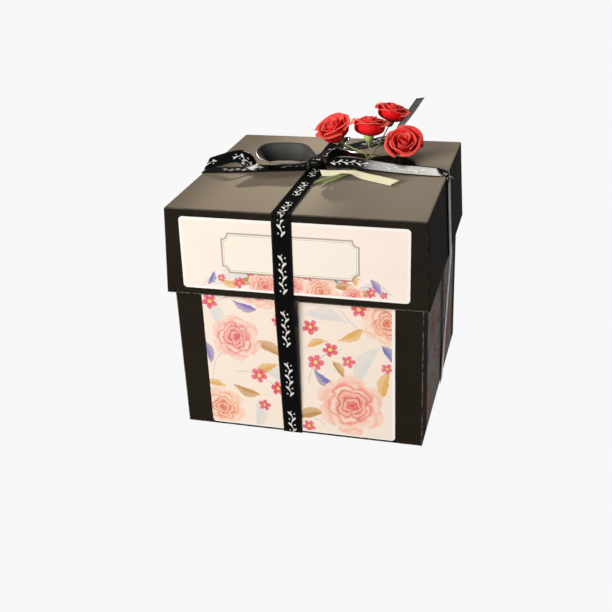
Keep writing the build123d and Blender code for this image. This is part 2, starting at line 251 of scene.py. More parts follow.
def use(group, **wires):
    """Places a group in a material or in another group, and gives the wires of its outputs."""
    node = first_wire(wires.values()).tree.nodes.new("ShaderNodeGroup")
    node.node_tree = group
    feed(node, spaced(wires))
    return {socket.name: Wire(socket) for socket in node.outputs}


def new_material(name):
    """A material with its Principled shader, and the object's own coordinates."""
    material = bpy.data.materials.new(name)
    material.use_nodes = True
    place = put("TexCoord", {}, "Object", tree=material.node_tree)
    return material, material.node_tree.nodes["Principled BSDF"], place


def own_map(place):
    """The numbers of a piece's own UV map."""
    return split(put("UVMap", {}, tree=place.tree, uv_map="UVMap"))


def coat(shader, colour, rough, normal, specular, **others):
    """Feeds a Principled shader."""
    feed(shader, spaced({"Base Color": colour, "Roughness": rough, "Normal": normal,
                         "Specular IOR Level": specular, **others}))


origin = (0.0, 0.0, 0.0)
print("group helpers ready")

# %% [markdown]
# Card and paper are felted fibres. Under a lamp they show a fine grain, a few millimetres of cloudy
# mottle, and no perfect flatness. Two noises make that: a small one for the grain's height and a
# large one for the tone.

# %% Group: fibres of card and paper
fibre_group, given = new_group("card_fibre", {"Position": origin, "Fine": 2600.0, "Cloud": 70.0},
                               Tone="Float", Height="Float")
fine = put("TexNoise", {"Vector": given["Position"], "Scale": given["Fine"], "Detail": 3.0,
                        "Roughness": 0.6})
cloud = put("TexNoise", {"Vector": given["Position"], "Scale": given["Cloud"], "Detail": 4.0,
                         "Roughness": 0.6})
close_group(fibre_group, Tone=fine * 0.35 + cloud * 0.65, Height=fine)

# %% [markdown]
# Black card wears first where it is folded and cut: the black coat thins and the lighter core shows.
# The folds of a box lie where two of its faces meet, so a point is on a fold when it is close to two
# of the box's limits at once. The limits may lean outwards, as the lid's skirt does. The folds round
# the top get a lighter line all along, partly wear and partly a painted highlight where the fold would
# catch the light. The upright folds and the lower edges are worn lighter only in spots.

# %% Group: wear and painted highlight along the folds of a box
edge_wear_and_highlight_group, given = new_group("fold_wear_and_highlight", {"Position": origin, "Half": base_half, "Top": lid_top,
                                            "Low": 0.0, "Lean": 0.0, "Reach": 0.6 * mm}, Mask="Float")
x, y, z = split(given["Position"])
limit = given["Half"] + (given["Top"] - z) * given["Lean"]
inside = limit - given["Reach"]
near_x = step(absolute(x), inside, limit)
near_y = step(absolute(y), inside, limit)
near_side = largest(near_x, near_y)
near_top = step(z, given["Top"] - given["Reach"], given["Top"])
near_low = step(z, given["Low"] + given["Reach"], given["Low"])
rubbed = step(rough_noise(given["Position"], 2.4 * mm), 0.35, 0.62)
spotted = largest(near_x * near_y, near_side * near_low) * rubbed
# Painted highlight and wear: the folds round the top get a lighter line all along.
top_fold_wear_and_highlight = near_side * near_top * (rubbed * 0.5 + 0.5)
close_group(edge_wear_and_highlight_group, Mask=largest(spotted, top_fold_wear_and_highlight))

# %% [markdown]
# The lid, the walls and the floors are all cut from the same black card. It is a warm black with a
# soft sheen: nearly black where it faces the viewer, and a taupe grey where light skims over it, as
# on the lid's top. The lid's top is handled most, so it has far more of that sheen than the sides, and
# the most towards the right. One function makes the material for each piece, since only the box's
# limits differ.

# %% Material: black card
side_sheen = 0.02


def black_card(name, half, top, low, slope=0.0, handled=0.08):
    """Black card for one box-shaped piece, whose top panel may be handled to a sheen."""
    material, shader, place = new_material(name)
    fibre = use(fibre_group, Position=place, Fine=2200.0, Cloud=55.0)
    wear_and_highlight = use(edge_wear_and_highlight_group, Position=place, Half=half, Top=top, Low=low, Lean=slope, Reach=0.7 * mm)
    base = colour_mix(fibre["Tone"], (0.0115, 0.0089, 0.0064), (0.027, 0.0212, 0.0154))
    # Lighter where the mask is: worn core in spots, and a painted highlight along the top folds.
    base = colour_mix(wear_and_highlight["Mask"] * 0.75, base, (0.26, 0.225, 0.185))
    x, y, z = split(place)
    on_top = step(z, top - 0.5 * mm, top - 0.2 * mm)
    shine = on_top * (span(x, handled, handled * 1.8, -10 * mm, 50 * mm) - side_sheen) + side_sheen
    coat(shader, base, span(fibre["Tone"], 0.50, 0.60), bump(fibre["Height"], 0.35, 0.05 * mm),
         span(on_top, 0.003, 0.07), Specular_Tint=(1.0, 0.84, 0.64), Sheen_Weight=shine,
         Sheen_Roughness=0.40, Sheen_Tint=(1.0, 0.81, 0.58))
    return material


lid_card = black_card("lid_card", lid_half, lid_top, skirt_low, lean, handled=0.55)
wall_cards = {layer: black_card(f"{layer}_card", *limits) for layer, limits in wall_limits.items()}
print("black card for the lid and", len(wall_cards), "layers")

# %% [markdown]
# Prints are drawn on a flat plane. For a piece on any of the four sides, that plane is the distance
# along the side and the height. A point on the left or right side is further out in X than in Y, so
# one comparison picks the right pair, and one material serves all four sides.

# %% Group: the flat plane of a side
plane_group, given = new_group("side_plane", {"Position": origin}, Plane="Vector")
x, y, z = split(given["Position"])
on_x = reckon("GREATER_THAN", absolute(x), absolute(y))
close_group(plane_group, Plane=put("CombineXYZ", {"X": x + on_x * (y - x), "Y": z}) * (1 / mm))

# %% [markdown]
# A floral print repeats a few motifs at many places. Drawing each one with its own nodes would be
# slow, so the motif is drawn once, in coordinates measured from the nearest place. This group is one
# link of the chain that finds it: it keeps what the chain held so far, or takes the new place when
# that is closer. It passes on the motif's own coordinates, how far away it is, and its tint.

# %% Group: keep the nearer place
plain = (1.0, 1.0, 1.0, 1.0)
far_off = (9.0, 9.0, 0.0)
near_group, given = new_group("nearest_motif", {"Plane": origin, "Held": far_off, "Held Far": 9.0,
                                                "Held Tint": plain, "Centre": origin, "Size": 1.0,
                                                "Turn": 0.0, "Tint": plain},
                              Local="Vector", Far="Float", Tint="Color")
spun = put("VectorRotate", {"Vector": given["Plane"] - given["Centre"], "Angle": given["Turn"]},
           rotation_type="Z_AXIS")
local = spun * (1.0 / given["Size"])
far = length(local)
closer = less_than(far, given["Held Far"])
chosen = put("Mix", {0: closer, 4: given["Held"], 5: local}, 1, data_type="VECTOR")
close_group(near_group, Local=chosen, Far=smallest(far, given["Held Far"]),
            Tint=colour_mix(closer, given["Held Tint"], given["Tint"]))


def nearest(plane, places):
    """Chains the group over rows of x, y, size, turn in degrees and tint."""
    held = {"Local": far_off, "Far": 9.0, "Tint": plain}
    for across, up, size, turn, tint in places:
        held = use(near_group, Plane=plane, Centre=(across, up, 0.0), Size=size, Turn=radians(turn),
                   Tint=tint, Held=held["Local"], Held_Far=held["Far"], Held_Tint=held["Tint"])
    return held


# %% [markdown]
# A painted rose is rings of petals, each lying over the wider ring outside it. One ring is a lobed
# disc: its radius swells and shrinks with the angle. The wash is deepest right outside the edge of
# the ring above it, and a thin darker line of pigment dries along each petal's own edge.

# %% Group: one ring of painted petals
ring_group, given = new_group("petal_ring", {"Local": origin, "Radius": 1.0, "Lobes": 5.0, "Phase": 0.0,
                                             "Shift": origin, "Under": plain, "Light": plain,
                                             "Deep": plain}, Color="Color", Mask="Float")
spot = given["Local"] - given["Shift"]
x, y, z = split(spot)
turned = reckon("ARCTAN2", y, x) * (given["Lobes"] * 0.5) + given["Phase"]
edge = given["Radius"] * (absolute(cosine(turned)) ** 0.6 * 0.26 + 0.76)
out = length(spot) / edge
cover = step(out, 1.03, 0.97)
under = colour_mix(step(out, 1.26, 1.0) * 0.85, given["Under"], given["Deep"])
petal = colour_mix(step(out, 0.88, 0.40), given["Light"], given["Deep"])
petal = colour_mix(step(out, 0.92, 0.99) * 0.40, petal, given["Deep"])
close_group(ring_group, Color=colour_mix(cover, under, petal), Mask=cover)

# %% [markdown]
# The whole rose is six rings, from the widest to the heart, each shifted and turned a little so
# that no two petals line up. The tint gives the deep wash, and the light wash is the same colour
# thinned with the paper's cream. A little noise makes the outlines ragged, as brush strokes are.

# %% Group: painted rose
rose_group, given = new_group("rose_print", {"Local": origin, "Tint": plain}, Color="Color", Mask="Float")
ragged = put("TexNoise", {"Vector": given["Local"], "Scale": 2.6, "Detail": 3.0}, "Color")
torn = (given["Local"] + (ragged - (0.5, 0.5, 0.5)) * 0.34) * (1.0, 1.0, 0.0)
tint = given["Tint"]
light = colour_mix(0.80, tint, (1.0, 0.84, 0.70))
mid = colour_mix(0.50, tint, (1.0, 0.80, 0.62))
heart = colour_mix(0.75, tint, (0.60, 0.02, 0.02))
painted = light
masks = []
for radius, lobes, phase, shift, pale, deep in (
        (1.00, 6, 0.3, origin, light, mid), (0.80, 5, 1.1, (0.05, -0.04, 0), light, mid),
        (0.61, 5, 0.2, (-0.04, 0.03, 0), light, tint), (0.44, 4, 0.9, (0.02, 0.05, 0), mid, heart),
        (0.27, 3, 0.5, (0.04, 0.02, 0), mid, heart), (0.13, 3, 1.4, (0.00, 0.03, 0), tint, heart)):
    ring = use(ring_group, Local=torn, Radius=radius, Lobes=float(lobes), Phase=phase, Shift=shift,
               Under=painted, Light=pale, Deep=deep)
    painted = ring["Color"]
    masks.append(ring["Mask"])
close_group(rose_group, Color=painted, Mask=masks[0])

# %% [markdown]
# Small blossoms have five rounded petals, a deeper middle and a yellow eye with a ring of dark dots.
# Leaves are pointed ovals, bent along their length, with a pale rib and one darker half.

# %% Groups: painted blossom and painted leaf
blossom_group, given = new_group("blossom_print", {"Local": origin, "Tint": plain}, Color="Color",
                                 Mask="Float")
tint = given["Tint"]
x, y, z = split(given["Local"])
angle = reckon("ARCTAN2", y, x)
reach = length(given["Local"])
out = reach / (absolute(cosine(angle * 2.5)) ** 0.55 * 0.62 + 0.38)
painted = colour_mix(step(out, 0.35, 0.85), tint, colour_mix(0.20, tint, (1.0, 0.62, 0.60)))
painted = colour_mix(step(out, 0.85, 0.99) * 0.6, painted, tint)
painted = colour_mix(step(reach, 0.30, 0.22), painted, (0.95, 0.62, 0.12))
dots = step(sine(angle * 9.0), 0.1, 0.7) * step(absolute(reach - 0.30), 0.09, 0.03)
painted = colour_mix(dots, painted, (0.35, 0.07, 0.06))
close_group(blossom_group, Color=painted, Mask=step(out, 1.05, 0.93))

leaf_group, given = new_group("leaf_print", {"Local": origin, "Tint": plain}, Color="Color",
                              Mask="Float")
tint = given["Tint"]
x, y, z = split(given["Local"])
bent = x * x * 0.24 + y
half = (1.0 - x * x) * (x * -0.15 + 0.34)
side = absolute(bent)
veins = sine((x - side * 1.6) * 17.0)
pale = colour_mix(0.30, tint, (1.0, 0.84, 0.60))
painted = colour_mix(step(bent, -0.05, 0.10), tint, pale)
painted = colour_mix(step(veins, 0.5, 0.95) * 0.45, painted, tint)
painted = colour_mix(step(side, 0.035, 0.012), painted, pale)
close_group(leaf_group, Color=painted, Mask=step(half - side, -0.01, 0.05) * less_than(x * x, 1.0))

# %% [markdown]
# Two line motifs finish the print set: a thin bent stem, and the label's border and frame. The frame
# is a rectangle with its corners scooped out, drawn as one strong line and a fine one inside it.
# Distance to an outline makes both: a line is wherever that distance is small.

# %% Groups: stem line and scooped frame
line_group, given = new_group("stem_line", {"Plane": origin, "Held": 0.0, "Centre": origin, "Size": 1.0,
                                            "Turn": 0.0, "Bend": 0.3}, Mask="Float")
spun = put("VectorRotate", {"Vector": given["Plane"] - given["Centre"], "Angle": given["Turn"]},
           rotation_type="Z_AXIS")
x, y, z = split(spun)
share = x / given["Size"]
arc = given["Bend"] * given["Size"] * (1.0 - share * share)
drawn = step(absolute(y - arc), 0.34, 0.14) * less_than(absolute(share), 1.0)
close_group(line_group, Mask=largest(drawn, given["Held"]))

frame_group, given = new_group("scooped_frame", {"Plane": origin, "Centre": origin,
                                                 "Half": (10.0, 5.0, 0.0), "Scoop": 3.0},
                               Inside="Float", Line="Float")
spot = absolute(given["Plane"] - given["Centre"])
x, y, z = split(spot - given["Half"])
rim = largest(largest(x, y), given["Scoop"] - reckon("DISTANCE", spot, given["Half"]))
strong_line = step(absolute(rim), 0.50, 0.30)
fine_line = step(absolute(rim + 1.1), 0.16, 0.04)
close_group(frame_group, Inside=step(rim, 0.0, -0.1), Line=largest(strong_line, fine_line))

label_corner = 2.0
panel_group, given = new_group("label_border", {"Plane": origin, "Centre": origin,
                                                "Half": (50.0, 50.0, 0.0), "Border": 1.0},
                               Border="Float")
straight = given["Half"] - (label_corner, label_corner, 0.0)
over = largest(absolute(given["Plane"] - given["Centre"]) - straight, origin)
border = given["Border"]
close_group(panel_group, Border=step(label_corner - length(over), border, border - 0.15))

# %% [markdown]
# A label is matt paper with a flower print on a peach-cream ground and a bare white edge. It is
# painted from the ground up, as the printer's picture would be: pale washes, stems, leaves, roses and
# blossoms. The plane is shaken a little with noise first, so that edges look brushed, and the
# colours are thinned here and there by a larger noise, as watercolour is.

# %% Material: printed label
peach = (0.93, 0.33, 0.17)
coral = (0.90, 0.17, 0.13)
pink = (0.86, 0.16, 0.21)
rosy = (0.80, 0.020, 0.135)
cherry = (0.76, 0.010, 0.075)
ochre = (0.52, 0.23, 0.020)
straw = (0.76, 0.40, 0.055)
lilac = (0.085, 0.11, 0.44)
violet = (0.18, 0.13, 0.50)
mist = (0.42, 0.58, 0.70)


def paper_finish(shader, place, paint, fine, cloud, grain, shade, roughs, bumps, specular):
    """Fibres, a matt gloss and a slight unevenness for any printed paper."""
    fibre = use(fibre_group, Position=place, Fine=fine, Cloud=cloud)
    coat(shader, colour_mix(fibre["Tone"] * grain, paint, shade), span(fibre["Tone"], *roughs),
         bump(fibre["Height"], bumps, 0.04 * mm), specular)


def flower_paper(name, centre, half, prints, window=None, ground=(0.955, 0.82, 0.71)):
    """Printed paper: prints holds the rows of each motif, and window is the framed bare place."""
    material, shader, place = new_material(name)
    plane = use(plane_group, Position=place)["Plane"]
    shaken = (rough_noise(place, 2.6 * mm, 4.0, out="Color") - (0.5, 0.5, 0.5)) * 2.0
    flat = (plane + shaken) * (1.0, 1.0, 0.0)
    thin = step(rough_noise(place, 9 * mm, 5.0, 0.65), 0.25, 0.75)
    paint = colour_mix(thin, ground, [min(1.0, value * 1.03) for value in ground])
    for kind, group, strength in (("washes", leaf_group, 0.42), ("stems", None, 0.6),
                                  ("leaves", leaf_group, 0.95), ("roses", rose_group, 1.0),
                                  ("blossoms", blossom_group, 1.0)):
        if group:
            found = nearest(flat, prints[kind])
            motif = use(group, Local=found["Local"], Tint=found["Tint"])
            cover, colour = motif["Mask"], motif["Color"]
        else:
            cover, colour = 0.0, (0.36, 0.38, 0.50)
            for across, up, size, turn, bend in prints[kind]:
                cover = use(line_group, Plane=flat, Held=cover, Centre=(across, up, 0.0), Size=size,
                            Turn=radians(turn), Bend=bend)["Mask"]
        paint = colour_mix(cover * span(thin, strength, strength * 0.84), paint, colour)
    if window:
        window_centre, window_half, scoop, line_tint = window
        drawn = use(frame_group, Plane=plane, Centre=(*window_centre, 0.0), Half=(*window_half, 0.0),
                    Scoop=scoop)
        paint = colour_mix(drawn["Inside"], paint, (0.95, 0.875, 0.765))
        paint = colour_mix(drawn["Line"] * 0.75, paint, line_tint)
    edge = use(panel_group, Plane=plane, Centre=(*centre, 0.0), Half=(*half, 0.0), Border=1.1)
    paint = colour_mix(edge["Border"], paint, (0.97, 0.94, 0.90))
    paper_finish(shader, place, paint, 3200.0, 90.0, 0.10, (0.62, 0.52, 0.42), (0.56, 0.70), 0.18, 0.12)
    print(name, "is drawn with", len(place.tree.nodes), "nodes")
    return material


# Places are in millimetres along the side and up from the table, then size, turn and tint or bend
wall_prints = {
    "washes": [(-6, 33, 13, 30, mist), (34, 47, 13, -60, mist), (-42, 66, 10, 75, mist),
               (16, 72, 11, 10, mist), (-22, 8, 10, 100, mist)],
    "stems": [(-24, 30, 12, 20, 0.3), (14, 42, 14, -50, 0.35), (-44, 36, 10, -70, 0.25),
              (34, 68, 12, 30, -0.3), (-8, 60, 12, 65, 0.3), (4, 8, 9, 10, 0.4), (-36, 74, 10, -20, 0.3)],
    "leaves": [(6, 14, 9, -15, ochre), (44, 36, 9, -75, straw), (12, 34, 8, -135, lilac),
               (-14, 50, 9, 30, ochre), (-18, 38, 8, -30, straw), (-48, 44, 7, 80, violet),
               (28, 60, 8, 150, straw), (48, 52, 7, 60, lilac), (-30, 22, 8, 200, ochre),
               (-2, 70, 8, 60, lilac), (-46, 26, 6, 10, straw), (22, 41, 6, 60, ochre),
               (-28, 72, 7, -160, violet), (10, 56, 6, -20, straw)],
    "roses": [(27, 20, 18, 25, coral), (-33, 54, 13.5, -40, pink), (-44, 11, 13, 70, peach),
              (46, 70, 13, 140, peach), (-18, 86, 14, 15, coral)],
    "blossoms": [(-22, 33, 4.6, 10, rosy), (-12, 26, 4.2, 50, cherry), (9, 44, 4.6, 0, rosy),
                 (17, 52, 4.2, 30, cherry), (26, 46, 3.6, 70, rosy), (7, 64, 4.4, 15, cherry),
                 (-10, 66, 3.4, 40, rosy), (-46, 74, 4.4, 25, rosy), (-20, 15, 3.4, 65, cherry),
                 (4, 5, 3.8, 20, rosy), (32, 76, 4.2, 50, cherry), (46, 44, 3.2, 10, rosy)]}
label_print = flower_paper("label_flowers", (-0.8, 53.4), (50.2, 52.2), wall_prints)

lid_prints = {
    "washes": [(-20, 91, 12, 15, mist), (18, 91, 12, -20, mist), (0, 96, 9, 60, mist),
               (42, 89, 9, 10, mist), (-38, 88, 9, 170, mist)],
    "stems": [(-27, 90, 10, 15, 0.35), (24, 90, 11, -15, 0.35), (40, 86, 8, 20, 0.4),
              (-42, 86, 7, -25, 0.3), (-8, 93, 6, 70, 0.3)],
    "leaves": [(-24, 88, 6.5, 160, ochre), (27, 89, 7, 15, ochre), (-8, 92, 6.5, 60, lilac),
               (12, 93, 6.5, 120, violet), (-33, 86, 6, 190, straw), (35, 86, 6.5, -10, ochre),
               (5, 94, 5.5, 90, ochre), (20, 94, 5.5, 40, lilac), (-17, 93, 5.5, 130, violet),
               (42, 90, 5, 60, violet), (-42, 88, 4.5, 120, lilac), (31, 93, 4.5, 75, straw)],
    "roses": [(-15, 86, 8.5, 30, coral), (14, 85, 9.5, -50, peach), (0, 88, 6.5, 80, pink),
              (30, 84, 6, 10, coral)],
    "blossoms": [(-28, 87, 3.2, 10, rosy), (-22, 93, 2.4, 50, cherry), (26, 93, 2.6, 20, rosy),
                 (-37, 89, 2.2, 5, rosy), (39, 87, 2.8, 40, rosy), (8, 93, 2.6, 0, cherry),
                 (45, 86, 2.0, 30, cherry)]}
lid_print = flower_paper("lid_label_flowers", (0, 101.3), (57.3, 18.4), lid_prints,
                         window=((-1.5, 102.5), (34.5, 10.2), 3.2, (0.30, 0.23, 0.17)),
                         ground=(0.96, 0.84, 0.75))

# %% [markdown]
# The inner papers are seen once the box falls open. They are quieter: a tinted ground with small
# blossoms scattered by a Voronoi texture, whose cells give each blossom a place of its own, and a
# ruled border. Each layer has another tint.

# %% Material: inner papers


def scattered_paper(name, centre, half, ground, tint, spacing):
    """Paper with blossoms scattered about a spacing apart, in millimetres."""
    material, shader, place = new_material(name)
    plane = use(plane_group, Position=place)["Plane"]
    cell = put("TexVoronoi", {"Vector": plane, "Scale": 1 / spacing, "Randomness": 0.75}, "Position",
               voronoi_dimensions="2D")
    chance = split(Wire(cell.socket.node.outputs["Color"]))[0]
    motif = use(blossom_group, Local=(plane - cell) * span(chance, 0.6, 0.3), Tint=tint)
    stripe = step(sine(split(plane)[0] * 2.1), 0.2, 0.8)
    paper = colour_mix(stripe * 0.35, ground, (1.0, 0.95, 0.88))
    paper = colour_mix(motif["Mask"] * 0.8, paper, motif["Color"])
    frame_half = (half[0] - 4.0, half[1] - 4.0, 0.0)
    drawn = use(frame_group, Plane=plane, Centre=(*centre, 0.0), Half=frame_half, Scoop=4.0)
    paper = colour_mix(drawn["Line"] * 0.7, paper, tint)
    edge = use(panel_group, Plane=plane, Centre=(*centre, 0.0), Half=(*half, 0.0), Border=1.2)
    paper = colour_mix(edge["Border"], paper, (0.96, 0.93, 0.88))
    paper_finish(shader, place, paper, 3000.0, 80.0, 0.12, (0.55, 0.45, 0.36), (0.55, 0.7), 0.2, 0.3)
    return material


outer_mat = scattered_paper("outer_mat_paper", (0, 62.1), (57.2, 55.2), (0.93, 0.74, 0.62), rosy, 9.0)
pocket_paper = scattered_paper("pocket_paper", (0, 39.4), (53.7, 31), (0.76, 0.80, 0.82), lilac, 8.0)
inner_mat = scattered_paper("inner_mat_paper", (0, 59.1), (50.2, 49.2), (0.95, 0.84, 0.70), coral, 7.0)
print("three inner papers")

# %% [markdown]
# White foam tape holds one floor on the next. It is a spongy white block with open cells at its cut
# sides, so a Voronoi texture pits it, and the pits are painted a darker grey as shade. The gift box is
# pale pink card with a pearly coat and lighter folds: worn in spots, and with a painted highlight
# along the folds round the top.

# %% Material: foam tape and gift box card
foam, shader, place = new_material("foam_cells")
pores = step(put("TexVoronoi", {"Vector": place, "Scale": 2200.0}, "Distance"), 0.15, 0.6)
# Painted shade: the colour is a darker grey in the pits.
coat(shader, colour_mix(pores, (0.72, 0.72, 0.69), (0.93, 0.93, 0.90)), span(pores, 0.75, 0.9),
     bump(pores, 0.6, 0.15 * mm), 0.2)


def gift_card(name, half, top, low):
    """Pale pink card for the lid or the base of the gift box."""
    material, shader, place = new_material(name)
    fibre = use(fibre_group, Position=place, Fine=2400.0, Cloud=110.0)
    wear_and_highlight = use(edge_wear_and_highlight_group, Position=place, Half=half, Top=top, Low=low)
    colour = colour_mix(fibre["Tone"], (0.86, 0.60, 0.52), (0.95, 0.74, 0.66))
    # Lighter folds: worn core in spots, and a painted highlight along the folds round the top.
    colour = colour_mix(wear_and_highlight["Mask"] * 0.6, colour, (0.98, 0.92, 0.88))
    coat(shader, colour, span(fibre["Tone"], 0.35, 0.5), bump(fibre["Height"], 0.25, 0.05 * mm), 0.5,
         Sheen_Weight=0.2, Sheen_Roughness=0.4)
    return material


gift_cards = {part: gift_card(f"gift_{part}_card", *limits) for part, limits in gift_limits.items()}
print("foam and gift box finishes ready")

# %% [markdown]
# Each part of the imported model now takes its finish. Its mesh is never touched: only the material in
# its slot changes.

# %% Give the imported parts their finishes
finishes = {"lid_shell": lid_card, "lid_label_front": lid_print, "foam_pads_lower": foam,
            "foam_pads_upper": foam}
for part, card in gift_cards.items():
    finishes[f"gift_box_{part}"] = card
for layer, card in wall_cards.items():
    finishes[f"{layer}_floor"] = card
for side in side_turns:
    finishes[f"outer_label_{side}"] = label_print
    finishes[f"outer_mat_{side}"] = outer_mat
    finishes[f"middle_pocket_{side}"] = pocket_paper
    finishes[f"inner_mat_{side}"] = inner_mat
    for layer, card in wall_cards.items():
        finishes[f"{layer}_wall_{side}"] = card
for node, finish in finishes.items():
    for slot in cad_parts[node].material_slots:
        slot.material = finish
print(len(finishes), "packed parts dressed")

# %% [markdown]
# The ribbon is black satin with a white print. Satin is woven so that long threads float along the
# ribbon: it shines in a streak across them, and its back is duller and greyer. The ribbon's own UV
# map is in metres, along and across, so the ribs, the woven edges and the print keep their size on
# every piece, and follow its bends. The side runs and the long run are pulled taut, which flattens
# the threads, so they shine less than the loose pieces.

# %% Group: satin weave
rib_pitch = 0.42 * mm
thread_pitch = 0.30 * mm
weave_group, given = new_group("satin_weave", {"Along": 0.0, "Across": 0.0}, Height="Float",
                               Selvage="Float", Slub="Float")
ribs = sine(given["Along"] * (2 * pi / rib_pitch))
threads = sine(given["Across"] * (2 * pi / thread_pitch))
selvage = step(ribbon_width / 2 - absolute(given["Across"]), 0.75 * mm, 0.45 * mm)
streak = put("CombineXYZ", {"X": given["Along"] * 60.0, "Y": given["Across"] * 2600.0})
slub = put("TexNoise", {"Vector": streak, "Scale": 1.0, "Detail": 2.0})
close_group(weave_group, Height=selvage * 0.3 + (ribs * threads * 0.5 + 0.5), Selvage=selvage, Slub=slub)

# %% [markdown]
# The white print is a short vine, repeated along the ribbon with a bare stretch between: a waving
# stem, with a leaf on one side and a berry on the other in each cell, which change sides in turn.

# %% Group: vine print
vine_repeat = 30 * mm
leaf_cell = 3.5
vine_group, given = new_group("vine_print", {"Along": 0.0, "Across": 0.0}, Mask="Float")
x = (fraction(given["Along"] / vine_repeat) - 0.5) * (vine_repeat / mm)
y = given["Across"] * (1.18 / mm)
ink = step(absolute(sine(x * (pi / leaf_cell)) * -0.8 + y), 0.34, 0.20)
in_cell = (fraction(x / leaf_cell) - 0.5) * leaf_cell
way = fraction(reckon("FLOOR", x / leaf_cell) * 0.5) * -4.0 + 1.0
rise = y * way - 1.15
leaf_along = (in_cell * 0.64 + rise * 0.77) / 1.75
leaf_aside = (in_cell * 0.77 - rise * 0.64) / 0.62
ink = largest(ink, step(leaf_along ** 2.0 + leaf_aside ** 2.0, 1.15, 0.85))
berry = reckon("SQRT", in_cell ** 2.0 + (y * way + 1.7) ** 2.0)
ink = largest(ink, step(berry, 0.52, 0.38))
close_group(vine_group, Mask=ink * less_than(absolute(x), 3 * leaf_cell))

# %% Material: satin ribbon


def satin(name, printed=True, shine=1.0):
    """Black satin, with the white vine where it is printed. Shine scales its gloss."""
    material, shader, place = new_material(name)
    u, v, w = own_map(place)
    weave = use(weave_group, Along=u, Across=v)
    cloth = colour_mix(weave["Slub"], (0.0025, 0.0024, 0.0026), (0.006, 0.0056, 0.0054))
    cloth = colour_mix(weave["Selvage"] * 0.6, cloth, (0.022, 0.021, 0.020))
    rough = span(weave["Slub"], 0.10, 0.16)
    if printed:
        ink = use(vine_group, Along=u, Across=v)["Mask"]
        cloth = colour_mix(ink * span(rough_noise(place, 1.2 * mm), 0.72, 1.0), cloth, (0.86, 0.85, 0.82))
        rough = ink * 0.25 + rough
    coat(shader, cloth, rough, bump(weave["Height"], 0.06, 0.05 * mm),
         span(weave["Slub"], 0.06 * shine, 0.19 * shine, 0.3, 0.7))
    return material


printed_satin = satin("printed_satin")
plain_satin = satin("plain_satin", printed=False)
taut_satin = satin("taut_satin", shine=0.12)
satin_back, shader, place = new_material("satin_back")
u, v, w = own_map(place)
weave = use(weave_group, Along=u, Across=v)
coat(shader, colour_mix(weave["Slub"], (0.022, 0.021, 0.019), (0.068, 0.065, 0.060)), 0.50,
     bump(weave["Height"], 0.25, 0.05 * mm), 0.28, Sheen_Weight=0.15, Sheen_Roughness=0.4)
print("satin with and without its print, pulled taut, and its dull back")

# %% [markdown]
# Every piece is built in a bmesh and then turned into an object at the origin. Its faces are smooth,
# and a function of the vertex writes their UV map. `settle` says how the piece belongs to the packed
# model: the body that it moves with and the parts that it replaces.

# %% Helpers that finish a piece


def map_faces(faces, uv, place_of):
    """Smooths faces, and writes their UV map from a function of the vertex."""
    for face in faces:
        face.smooth = True
        for loop in face.loops:
            loop[uv].uv = place_of(loop.vert)


def new_piece(name, work):
    """Turns a finished bmesh into an object at the origin."""
    work.normal_update()
    mesh = bpy.data.meshes.new(name)
    work.to_mesh(mesh)
    work.free()
    piece = bpy.data.objects.new(name, mesh)
    bpy.context.scene.collection.objects.link(piece)
    return piece


def thicken(piece, thick):
    """Gives a flat piece its thickness, half of it on each side."""
    thickness = piece.modifiers.new("thickness", "SOLIDIFY")
    thickness.thickness = thick
    thickness.offset = 0


def settle(piece, finish, body, slot, *nodes):
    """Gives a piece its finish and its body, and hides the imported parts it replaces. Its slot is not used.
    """
    piece.data.materials.append(finish)
    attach(piece, body)
    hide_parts(*nodes)


print("piece helpers ready")

# %% [markdown]
# Every ribbon piece is one flat strip, carried along a smooth line. bmesh.ops.create_grid makes the
# flat strip, and each of its rows is moved to a station: a place, the way the ribbon's width points,
# and how far it tilts. More stations are eased in between with a curve that passes through them all.
# Close to the knot the strip is gathered: it narrows and rises in small pleats.

# %% Helpers that lay a ribbon
strips_across = 10
gathered_by = 0.42
pleat_height = 0.42 * mm
pleats_across = 2.5
ripple_length = 7 * mm


def eased(rows, steps):
    """More rows along a smooth curve through the given ones. Each row is a tuple of numbers."""
    curve = []
    last = len(rows) - 1
    for index in range(last):
        before, start = rows[max(index - 1, 0)], rows[index]
        end, after = rows[index + 1], rows[min(index + 2, last)]
        for count in range(steps):
            t = count / steps
            curve.append(tuple(b + (c - a) * t / 2 + (2 * a - 5 * b + 4 * c - d) * t * t / 2
                               + (3 * (b - c) + d - a) * t ** 3 / 2
                               for a, b, c, d in zip(before, start, end, after)))
    return curve + [tuple(rows[last])]


def ribbon_lines(rows):
    """Centre, width direction, facing and way ahead of each row of x, y, z, heading and tilt."""
    centres = [Vector(row[:3]) for row in rows]
    lines = []
    for index, row in enumerate(rows):
        heading, tilt = radians(row[3]), radians(row[4])
        across = Vector((-sin(heading) * cos(tilt), cos(heading) * cos(tilt), sin(tilt)))
        ahead = centres[min(index + 1, len(rows) - 1)] - centres[max(index - 1, 0)]
        ahead.normalize()
        across = (across - ahead * across.dot(ahead)).normalized()
        lines.append((centres[index], across, ahead.cross(across).normalized(), ahead))
    return lines


